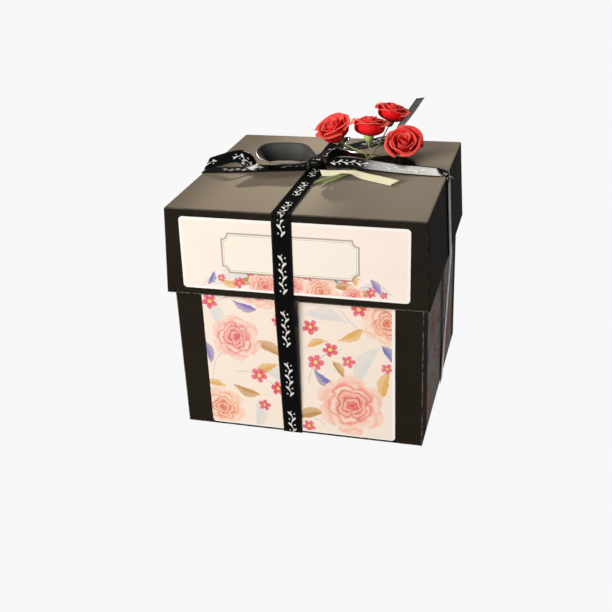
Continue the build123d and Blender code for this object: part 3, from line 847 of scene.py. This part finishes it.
def lay_ribbon(name, rows, width=ribbon_width, steps=8, gathers=(0.0, 0.0), crown=0.0, slant=(0.0, 0.0),
               ripple=0.0, start_at=0.0, thick=ribbon_thick):
    """A strip through the rows, and its length. Gathers and slant are given for both of its ends.

    Gathers are the lengths that are pleated, slant is how far each end is cut askew as a share of the
    width, crown is the strip's bulge, ripple is the height of its waves, and start_at shifts the print.
    """
    lines = ribbon_lines(eased(rows, steps))
    runs = [(b[0] - a[0]).length for a, b in zip(lines, lines[1:])]
    along = [sum(runs[:count]) for count in range(len(lines))]
    total = along[-1]
    strip = bmesh.new()
    uv = strip.loops.layers.uv.new("UVMap")
    bmesh.ops.create_grid(strip, x_segments=len(lines) - 1, y_segments=strips_across, size=0.5)
    where = {}
    for vert in strip.verts:
        row = round((vert.co.x + 0.5) * (len(lines) - 1))
        share = vert.co.y
        centre, across, facing, ahead = lines[row]
        narrow, pleat = 1.0, 0.0
        for gather, cut, left in zip(gathers, slant, (along[row], total - along[row])):
            if gather and left < gather:
                tight = 0.5 + 0.5 * cos(pi * left / gather)
                narrow -= gathered_by * tight
                pleat += pleat_height * tight * cos(2 * pi * pleats_across * share)
            if cut and left < width:
                centre = centre + ahead * (cut * share * (width - left))
        lift = crown * (1 - 4 * share * share) + pleat
        lift += ripple * sin(along[row] / ripple_length) * (share + 0.3)
        vert.co = centre + across * (share * width * narrow) + facing * lift
        where[vert.index] = (start_at + along[row], share * width)
    map_faces(strip.faces, uv, lambda vert: where[vert.index])
    piece = new_piece(name, strip)
    thicken(piece, thick)
    print(name, "is", round(total / mm, 1), "mm long")
    return piece, total


def satin_piece(name, rows, node, body="lid", held="laid", rests_on="lid_shell", finish=printed_satin,
                **shape):
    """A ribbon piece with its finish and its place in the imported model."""
    piece, total = lay_ribbon(name, rows, **shape)
    settle(piece, finish, body, "satin_ribbon", node)
    return piece


# %% [markdown]
# The ribbon goes round the box in two rounds that cross under the floor and on the lid. Each side run
# is straight from the floor to the lower edge of the skirt, which holds it off the wall, and then
# lies up the skirt. Each side run is a piece of its own because it falls with the opening box.

# %% Ribbon on the sides and under the floor
under_thick = 0.11 * mm
side_shift = {"front": ribbon_x, "right": ribbon_y, "back": -ribbon_x, "left": ribbon_slant - ribbon_y}
# Distance out from the middle of the box and height, in millimetres
side_rows = [(64.62, 0.3), (65.4, 20), (66.5, 46), (67.55, 71), (67.83, 77.6), (67.82, 80.2), (67.55, 86),
             (66.75, 104), (66.0, 121.4)]
for side, turn in side_turns.items():
    spin = Matrix.Rotation(radians(turn), 3, "Z")
    rows = []
    for out, height in side_rows:
        place = spin @ Vector((side_shift[side], -out * mm, height * mm))
        rows.append((*place, 90 + turn, 0))
    satin_piece(f"strand_{side}", rows, f"ribbon_strand_{side}", f"ribbon_{side}", held="stretched",
                finish=taut_satin, steps=6, crown=0.12 * mm, start_at=12 * mm)

# Places and height over the table in millimetres, and heading. The cross run lies over the long one
for name, places, height, heading in (
        ("under_run_long", ((-5, -64.3), (-5, 0), (-5, 64.3)), 0.065, 90),
        ("under_run_cross", ((63.6, 5), (0, -0.5), (-63.6, -6)), 0.175, 185)):
    rows = [(x * mm, y * mm, height * mm, heading, 0) for x, y in places]
    satin_piece(name, rows, "ribbon_under_floor", "base", held="stretched", rests_on="outer_floor",
                finish=plain_satin, steps=6, thick=under_thick)

# %% [markdown]
# On the lid the ribbon's runs are pulled tight from the knot to the edges, where their cut ends turn
# down over the fold. The run towards the right is lifted by the rose stems under it, so it leans
# forward and then lies flat, which is where it catches the light. The places are shares of the bow's
# reach, and heights are shares of the ribbon's width, as in the CAD source.

# %% Bands on the lid


def lid_place(x, y, height):
    """A point measured from the knot, in shares of the bow's reach, at a height over the lid."""
    return ribbon_x + x * bow_reach, ribbon_y + y * bow_reach, lid_top + height


def from_knot(shares):
    """Rows of place, heading and tilt, whose heights are shares of the ribbon's width."""
    return [(*lid_place(x, y, z * ribbon_width), heading, tilt) for x, y, z, heading, tilt in shares]


# How far out and how high a band is while it turns down over the lid's fold
bend_radius = fold_radius + band_gap
edge = [(lid_half - fold_radius + bend_radius * sin(radians(turn)),
         lid_top - fold_radius + bend_radius * cos(radians(turn))) for turn in (0, 22.5, 45, 67.5, 90)]
edge.append((lid_half + band_gap + lean * turn_down, lid_top - turn_down))

long_rows = [(ribbon_x, -out, z, 90, 0) for out, z in reversed(edge)]
long_rows += [(ribbon_x, y * mm, lid_top + band_gap, 90, 0) for y in (-40, -15, 5, 25, 45)]
long_rows += [(ribbon_x, out, z, 90, 0) for out, z in edge]
satin_piece("band_long", long_rows, "ribbon_band_long", steps=4, start_at=4 * mm, finish=taut_satin)
left_rows = from_knot([(-0.13, -0.03, 0.08, 11, 0), (-0.60, -0.12, 0.06, 11, 0), (-1.05, -0.21, 0.03, 8, 0)])
left_rows += [(-out, ribbon_y - ribbon_slant, z, 0, 0) for out, z in edge]
satin_piece("band_left", left_rows, "ribbon_band_left", steps=6, start_at=9 * mm)
right_rows = from_knot([(0.14, -0.06, 0.36, 2, 24), (0.28, -0.05, 0.46, 2, 24), (0.50, -0.04, 0.48, 2, 22),
                        (0.80, -0.03, 0.34, 1, 15), (1.10, -0.02, 0.22, 1, 12), (1.45, -0.01, 0.13, 0, 11),
                        (1.62, -0.01, 0.10, 0, 8)])
right_rows += [(out, ribbon_y, z, 0, 0) for out, z in edge]
satin_piece("band_right", right_rows, "ribbon_band_right", steps=6, gathers=(7 * mm, 0.0), start_at=2 * mm)

# %% [markdown]
# The bow has one standing loop on the left, whose inside shows as a grey shine, a flat loop on the
# right under the roses, and two cut tails. The left tail reaches over the lid's edge, and the back
# tail stands up behind the roses. The standing loop has the dull back inside and the satin outside.

# %% Bow
left_loop = [(-0.13, -0.05, 0.38, 190, 16), (-0.30, -0.13, 0.40, 184, 12), (-0.52, -0.18, 0.44, 178, 16),
             (-0.70, -0.14, 0.54, 150, 30), (-0.76, 0.03, 0.61, 100, 55), (-0.68, 0.13, 0.66, 40, 74),
             (-0.46, 0.18, 0.67, 5, 82), (-0.26, 0.17, 0.66, -15, 80), (-0.13, 0.10, 0.60, -35, 76),
             (-0.04, 0.03, 0.46, -38, 70)]
standing_loop = satin_piece("loop_left", from_knot(left_loop), "bow_loop_left", held="folded",
                            finish=satin_back, steps=10, gathers=(7 * mm, 9 * mm), crown=0.3 * mm,
                            ripple=0.25 * mm)
standing_loop.data.materials.append(plain_satin)
standing_loop.modifiers["thickness"].material_offset = 1
right_loop = [(0.14, 0.08, 0.52, 50, 66), (0.28, 0.20, 0.48, 35, 48), (0.50, 0.34, 0.26, 20, 18),
              (0.80, 0.43, 0.16, 6, 4), (1.06, 0.40, 0.14, -40, 4), (1.17, 0.24, 0.12, -90, 4),
              (1.06, 0.12, 0.10, -140, 3), (0.80, 0.08, 0.09, -176, 3), (0.50, 0.08, 0.09, -182, 3),
              (0.26, 0.03, 0.12, -186, 4), (0.13, 0.00, 0.16, -190, 6)]
satin_piece("loop_right", from_knot(right_loop), "bow_loop_right", held="folded", finish=plain_satin,
            steps=8, gathers=(6 * mm, 0.0))
left_tail = [(-0.13, -0.02, 0.17, 190, 0), (-0.35, -0.08, 0.17, 188, 0), (-0.62, -0.16, 0.15, 184, 0),
             (-0.84, -0.19, 0.20, 178, -6), (-0.97, -0.12, 0.52, 166, -20), (-1.08, -0.08, 0.62, 170, -26),
             (-1.22, -0.09, 0.52, 178, -26), (-1.38, -0.13, 0.36, 186, -22)]
tail_rows = from_knot(left_tail) + [(-lid_half, ribbon_y - 0.19 * bow_reach, lid_top + 0.26 * ribbon_width,
                                     190, -16)]
satin_piece("tail_left", tail_rows, "bow_tail_left", steps=8, slant=(0.0, 0.5), start_at=11 * mm)
back_tail = [(-0.02, 0.13, 0.20, 92, 0), (-0.05, 0.38, 0.08, 88, 0), (0.06, 0.72, 0.07, 62, 0),
             (0.30, 1.04, 0.08, 46, 0), (0.56, 1.27, 0.16, 26, 0), (0.79, 1.38, 0.46, -6, 0),
             (0.96, 1.40, 1.30, -25, 0), (1.18, 1.38, 2.60, -25, 0)]
satin_piece("tail_back", from_knot(back_tail), "bow_tail_back", held="folded", steps=8, start_at=20 * mm)

# %% [markdown]
# The knot is the ribbon wrapped tightly round its own runs. A cube with many faces is pushed onto a
# rounded box, pleated lengthways, and drawn in round its middle, where the wrap is tightest.

# %% Knot
knot_half = Vector((4.4, 3.9, 2.75)) * mm
knot_rise = 3.25 * mm
roundness = 3.4
knot = bmesh.new()
knot_uv = knot.loops.layers.uv.new("UVMap")
bmesh.ops.create_cube(knot, size=2)
bmesh.ops.subdivide_edges(knot, edges=knot.edges, cuts=11, use_grid_fill=True)
for vert in knot.verts:
    ball = vert.co / sum(abs(value) ** roundness for value in vert.co) ** (1 / roundness)
    pleats = 0.035 * cos(ball.x * 13 + 2 * ball.y) * (1 - abs(ball.y) ** 4)
    tuck = 1 + pleats - 0.10 * (1 - min(1, abs(ball.y))) * abs(ball.x)
    vert.co = ball * knot_half * tuck
map_faces(knot.faces, knot_uv, lambda vert: (vert.co.y + 15 * mm, vert.co.x))
bmesh.ops.translate(knot, verts=knot.verts, vec=(ribbon_x, ribbon_y, lid_top + knot_rise))
settle(new_piece("knot", knot), plain_satin, "lid", "satin_ribbon", "ribbon_knot")
print("knot made")

# %% [markdown]
# The roses are made of crinkled mulberry paper, dyed red. The colour follows how far up its petal a
# point is: it is darker towards each petal's foot, deep in the flower, and the torn, curled lips carry
# a painted highlight of lighter coral. The petal's UV map holds that height, and a number of its own
# for each petal's tone.

# %% Material: rose paper
rose_paper, shader, place = new_material("rose_paper")
tone, up, w = own_map(place)
crinkle = rough_noise(place, 1.1 * mm, 4.0, 0.65)
veins = rough_noise(place, 0.35 * mm, 2.0)
red = colour_mix(tone, (0.93, 0.008, 0.014), (1.0, 0.034, 0.032))
# Darker towards each petal's foot, deep in the flower.
red = colour_mix(step(up, 0.36, 0.03), red, (0.40, 0.0, 0.006))
# Painted highlight: lighter coral on the upper lips, where they would catch the light.
red = colour_mix(step(up, 0.60, 1.0) * step(crinkle, 0.25, 0.60) * 0.66, red, (1.0, 0.28, 0.20))
red = colour_mix(veins * 0.15, red, (0.52, 0.0, 0.008))
coat(shader, red, span(crinkle, 0.55, 0.75), bump(veins * 0.3 + crinkle, 0.55, 0.3 * mm), 0.12,
     Sheen_Weight=0.05, Sheen_Roughness=0.5, Sheen_Tint=(1.0, 0.45, 0.38), Subsurface_Weight=0.12,
     Subsurface_Radius=(0.0009, 0.0002, 0.0002), Subsurface_Scale=1.0)
print("rose paper ready")

# %% [markdown]
# A paper rose is rolled from the heart outwards. Each petal starts as a small flat grid that is bent
# round the rose's axis: its foot is narrow, its middle swells, and its lip rolls back. The turn from
# one petal to the next is the golden angle, as in a real flower, so that no two overlap the same way.
# Ruffles along the lip and a little noise make it paper. The noise is seeded, because otherwise it
# starts from the clock and every run gives other petals.

# %% Rose petals
noise.seed_set(1)
petal_profile = [(0.22, 0.05), (0.78, 0.24), (1.00, 0.55), (0.97, 0.80), (1.04, 0.98), (1.19, 1.03),
                 (1.29, 0.97)]
petal_curve = eased(petal_profile, 6)
petal_columns = 12
petal_rows = 9
petal_thick = 0.17 * mm
golden_turn = radians(222.5)
petals_per_rose = 13
crumple_size = 4.5 * mm
crumple_depth = 0.35 * mm


def petal_point(up):
    """Radius and height shares on the petal's profile, between two of its eased points."""
    spot = up * (len(petal_curve) - 1)
    low = min(int(spot), len(petal_curve) - 2)
    return tuple(a + (b - a) * (spot - low) for a, b in zip(petal_curve[low], petal_curve[low + 1]))


def add_petal(rose, uv, radius, height, roll, sweep, start, seed):
    """Bends one grid into a petal. Roll is how far its lip turns back, from 0 to 1."""
    grid = bmesh.ops.create_grid(rose, x_segments=petal_columns, y_segments=petal_rows, size=0.5)
    tone = (seed * 0.37) % 1.0
    ups = {}
    for vert in grid["verts"]:
        aside, up = 2 * vert.co.x, vert.co.y + 0.5
        ups[vert] = up
        corner = abs(aside) ** 3 * up
        reach, rise = petal_point(up * (0.72 + 0.28 * roll))
        rounding = 1 - 0.17 * corner - 0.03 * up * cos(6 * aside + seed)
        point = 0.06 * max(0.0, 1 - abs(aside) * 2.2) * up ** 3 * roll
        angle = start + aside * sweep / 2 * (0.62 + 0.38 * min(1.0, up * 2.2))
        wide = radius * reach * (1 + 0.05 * aside) * (1 - 0.10 * corner * (1 - roll))
        wide += radius * 0.05 * sin(aside * 5 + seed * 2.3) * up ** 2
        spot = Vector((wide * cos(angle), wide * sin(angle), height * (rise * rounding + point)))
        drift = noise.noise_vector(spot / crumple_size + Vector((seed, 0, 0)))
        vert.co = spot + drift * crumple_depth * (0.3 + up)
    faces = {face for vert in grid["verts"] for face in vert.link_faces}
    map_faces(faces, uv, lambda vert: (tone, ups[vert]))


print("petal helper ready")

# %% [markdown]
# The heads differ in size, in how open they are and in the way they face, and are placed as in the
# CAD source. The petals' thickness comes from Solidify, and one level of subdivision rounds them.

# %% Rose heads
# Place on the lid, height and size as shares of a rose's radius, the way it faces and its first turn
roses = {"rose_left": ((0.04, 0.88), 1.17, 1.08, (-0.30, -0.35, 0.89), 0.0),
         "rose_middle": ((0.58, 0.71), 1.60, 0.99, (0.05, 0.10, 0.97), 1.3),
         "rose_back": ((0.82, 1.12), 1.94, 0.92, (0.22, 0.05, 0.95), 2.1),
         "rose_right": ((1.10, 0.44), 0.97, 0.98, (0.15, -0.60, 0.78), 4.4)}


def rose_foot(name):
    """A rose's foot, the way it faces and its radius."""
    spot, height, size, facing, turn = roses[name]
    way = Vector(facing).normalized()
    radius = size * rose_radius
    return Vector(lid_place(*spot, height * rose_radius)) - way * (0.6 * radius), way, radius


def plant(work, verts, way, foot):
    """Turns upright points to face a way, and moves them to their foot."""
    bmesh.ops.transform(work, matrix=way.to_track_quat("Z", "Y").to_matrix().to_4x4(), verts=verts)
    bmesh.ops.translate(work, verts=verts, vec=foot)


for name, (spot, height, size, facing, turn) in roses.items():
    foot, way, radius = rose_foot(name)
    rose = bmesh.new()
    uv = rose.loops.layers.uv.new("UVMap")
    for index in range(petals_per_rose):
        share = (index + 1) / petals_per_rose
        reach = radius * (0.13 + 0.72 * share ** 1.15)
        tall = radius * (1.10 - 0.34 * share)
        sweep = radians(175 - 55 * share)
        roll = min(1.0, max(0.0, (share - 0.18) / 0.6))
        add_petal(rose, uv, reach, tall, roll, sweep, turn + index * golden_turn, index + 3 * turn)
    plant(rose, rose.verts, way, foot)
    head = new_piece(f"paper_{name}", rose)
    thicken(head, petal_thick)
    rounding = head.modifiers.new("rounding", "SUBSURF")
    rounding.levels = 1
    rounding.render_levels = 1
    settle(head, rose_paper, "lid", "rose_paper", name)
print(len(roses), "roses of", petals_per_rose, "petals")

# %% [markdown]
# The stems are thin wires wound with light green paper tape. Each is a smooth spline through its
# CAD places, made round by its bevel and then turned into a mesh. The tape's turns are a slanted
# stripe, and each head sits in a small green cup. The wires lie side by side where the tie holds
# them, and their cut ends splay a little.

# %% Material: wound green paper
wound_paper, shader, place = new_material("wound_paper")
turns = put("TexWave", {"Vector": place, "Scale": 190.0, "Distortion": 1.5, "Detail": 1.0}, "Fac",
            bands_direction="DIAGONAL")
green = colour_mix(rough_noise(place, 5 * mm), (0.30, 0.42, 0.10), (0.62, 0.68, 0.30))
green = colour_mix(turns * 0.35, green, (0.20, 0.27, 0.07))
coat(shader, green, span(turns, 0.5, 0.7), bump(turns, 0.5, 0.1 * mm), 0.3)
print("wound paper ready")

# %% Stems
stem_radius = 0.32 * mm
stem_spacing = 0.74 * mm
across_bundle = Vector((cos(radians(-25)), sin(radians(-25)), 0))
along_bundle = Vector((cos(radians(230)), sin(radians(230)), 0))
bundle = [(0.69, 0.30, 0.50), (0.62, 0.10, 0.29), (0.50, -0.24, 0.12), (0.18, -0.62, 0.09)]
loose_ends = [(-1.6, -0.6), (-0.9, 2.0), (1.3, -2.0), (2.5, 1.0)]
stems = bmesh.new()
for index, name in enumerate(roses):
    foot, way, radius = rose_foot(name)
    start = foot - way * (0.20 * radius)
    points = [start, start - way * 2.2 * mm]
    aside = across_bundle * ((index - 1.5) * stem_spacing)
    points += [Vector(lid_place(x, y, z * ribbon_width)) + aside for x, y, z in bundle]
    spread, further = loose_ends[index]
    points[-1] += (across_bundle * spread + along_bundle * further) * mm
    line = bpy.data.curves.new("stem_line", "CURVE")
    line.dimensions = "3D"
    line.bevel_depth = stem_radius
    line.bevel_resolution = 3
    line.use_fill_caps = True
    spline = line.splines.new("NURBS")
    spline.points.add(len(points) - 1)
    for point, place in zip(spline.points, points):
        point.co = (*place, 1)
    spline.order_u = 3
    spline.use_endpoint_u = True
    holder = bpy.data.objects.new("stem_line", line)
    stems.from_mesh(bpy.data.meshes.new_from_object(holder))
    bpy.data.objects.remove(holder)
    cup = bmesh.ops.create_uvsphere(stems, u_segments=20, v_segments=12, radius=0.27 * radius)["verts"]
    for vert in cup:
        vert.co.z = min(vert.co.z, 0.10 * radius) * (1.2 if vert.co.z < 0 else 1.0)
    plant(stems, cup, way, foot)
bmesh.ops.recalc_face_normals(stems, faces=stems.faces)
for face in stems.faces:
    face.smooth = True
settle(new_piece("wire_stems", stems), wound_paper, "lid", "stem_wire", "rose_stems")
print("stems made")

# %% [markdown]
# A strip of pale yellow paper is wound once round the stems and left with two slanted ends. It is
# laid like a ribbon, but narrower, and its material is plain paper with faint ruled edges.

# %% Paper tie
tie_width = 5.4 * mm
ruled_at = 2.2 * mm
tie_paper, shader, place = new_material("tie_paper")
u, v, w = own_map(place)
fibre = use(fibre_group, Position=place, Fine=2600.0, Cloud=120.0)
ruled = step(absolute(absolute(v) - ruled_at), 0.12 * mm, 0.04 * mm)
pale = colour_mix(fibre["Tone"], (0.82, 0.76, 0.46), (0.93, 0.88, 0.62))
pale = colour_mix(ruled * 0.3, pale, (0.42, 0.42, 0.14))
coat(shader, pale, span(fibre["Tone"], 0.5, 0.65), bump(fibre["Height"], 0.3, 0.06 * mm), 0.35)
tie_shares = [(0.12, -0.26, 0.12, -2, 16), (0.28, -0.26, 0.13, -6, 14), (0.41, -0.26, 0.24, -10, 2),
              (0.50, -0.27, 0.26, -14, 0), (0.59, -0.28, 0.23, -20, 4), (0.72, -0.32, 0.13, -26, 16),
              (0.90, -0.40, 0.12, -28, 18), (1.16, -0.53, 0.12, -28, 18)]
tie = lay_ribbon("tie", from_knot(tie_shares), width=tie_width, steps=6, slant=(-0.45, 0.45),
                 crown=0.12 * mm)[0]
settle(tie, tie_paper, "lid", "tie_paper", "paper_tie")
print("tie laid")

# %% [markdown]
# The stage is a pale floor under three lamps. A soft lamp high behind the box skims the lid's top and
# shines in the right band, a narrow warm spot low behind it throws the bow's shadow forward over the
# lid, and a wide front lamp lights the labels at a plain level. None of them stands on the right, so
# that side stays dark. To the camera, and in gloss and glass, floor and background are nearly white,
# and the floor keeps the box's shadow. To the rest of the light they are dim, so that they don't
# brighten the box.

# %% Stage and lamps


def directly_seen(tree):
    """1 for rays from the camera, off gloss and through glass, which show the background itself."""
    rays = put("LightPath", {}, tree=tree).socket.node.outputs
    seen = largest(Wire(rays["Is Camera Ray"]), Wire(rays["Is Glossy Ray"]))
    return largest(seen, Wire(rays["Is Transmission Ray"]))


floor_work = bmesh.new()
bmesh.ops.create_grid(floor_work, x_segments=1, y_segments=1, size=6)
bmesh.ops.translate(floor_work, verts=floor_work.verts, vec=(0, 0, -0.1 * mm))
floor = new_piece("floor", floor_work)
floor_paper = bpy.data.materials.new("floor_paper")
floor_paper.use_nodes = True
tree = floor_paper.node_tree
tree.nodes.remove(tree.nodes["Principled BSDF"])
matt = put("BsdfDiffuse", {"Color": (0.11, 0.109, 0.107)}, tree=tree)
white = put("Emission", {"Color": (1.0, 1.0, 1.0), "Strength": 1.0}, tree=tree)
lit = put("MixShader", {0: directly_seen(tree) * 0.93, 1: matt, 2: white})
feed(tree.nodes["Material Output"], {"Surface": lit})
floor.data.materials.append(floor_paper)

world = bpy.data.worlds.new("studio")
bpy.context.scene.world = world
world.use_nodes = True
tree = world.node_tree
height = split(put("TexCoord", {}, "Generated", tree=tree))[2]
white = span(height, 1.0, 0.08, -0.02, 0.03)
strength = put("Mix", {0: directly_seen(tree), 2: 0.03, 3: white}, data_type="FLOAT")
feed(tree.nodes["Background"], {"Color": (1.0, 1.0, 1.0), "Strength": strength})


def stand_lamp(data, place, aim, power, tint):
    """Puts a lamp at a place, facing a point."""
    data.energy = power
    data.color = tint
    lamp = bpy.data.objects.new(data.name, data)
    bpy.context.scene.collection.objects.link(lamp)
    lamp.location = place
    lamp.rotation_mode = "QUATERNION"
    lamp.rotation_quaternion = (Vector(place) - Vector(aim)).to_track_quat("Z", "Y")


def soft_lamp(name, width, height):
    """A rectangular lamp, softer the larger it is."""
    data = bpy.data.lights.new(name, "AREA")
    data.shape = "RECTANGLE"
    data.size = width
    data.size_y = height
    return data


middle_of_box = (0, 0, 0.08)
bow_on_lid = (-0.021, -0.032, 0.124)
key = bpy.data.lights.new("key_back", "SPOT")
key.spot_size = radians(3.4)
key.spot_blend = 0.6
key.shadow_soft_size = 0.014
stand_lamp(key, (0.03, 1.30, 0.52), bow_on_lid, 98, (1.0, 0.92, 0.80))
stand_lamp(soft_lamp("upper_back", 0.4, 0.5), (-0.14, 0.92, 0.96), middle_of_box, 9.5, (1.0, 0.96, 0.90))
stand_lamp(soft_lamp("fill_front", 1.2, 1.2), (-0.80, -1.28, 0.58), middle_of_box, 33.5, (1.0, 0.98, 0.95))
print("stage with", len(bpy.data.lights), "lamps")
